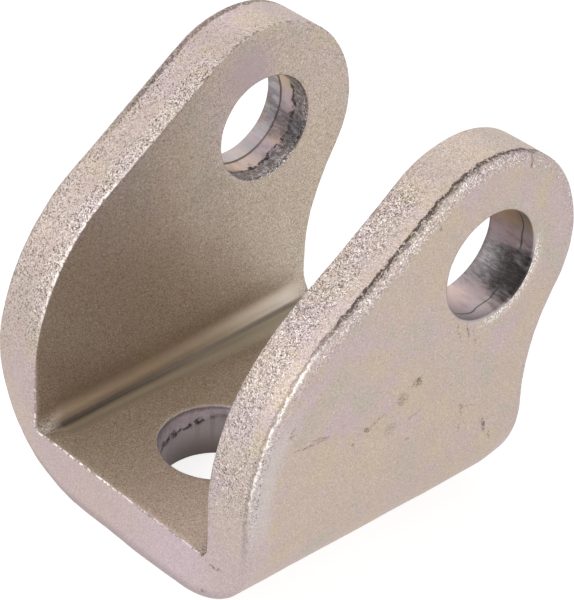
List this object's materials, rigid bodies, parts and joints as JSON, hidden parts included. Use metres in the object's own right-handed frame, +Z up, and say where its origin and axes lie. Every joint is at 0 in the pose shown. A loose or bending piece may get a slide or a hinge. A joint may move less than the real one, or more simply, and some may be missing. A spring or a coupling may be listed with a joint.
{
  "type": "clevis rod end",
  "caption": "Bent steel plate clevis: two ears with pin holes in line, joined by a base with a hole for a rod or bolt.",
  "frame": {"origin": "centre of the rod hole on the underside of the base", "axes": "+X along the pin axis, +Y from the front edge to the back, +Z up from the base towards the ears' round ends"},
  "size_m": [0.04, 0.043, 0.0434],
  "materials": {
    "zinc_plated_steel": "shot-blasted, zinc plated and passivated, with a faint yellow and pink iridescence"
  },
  "bodies": {
    "root": {"clevis_body": "zinc_plated_steel"}
  },
  "joints": []
}
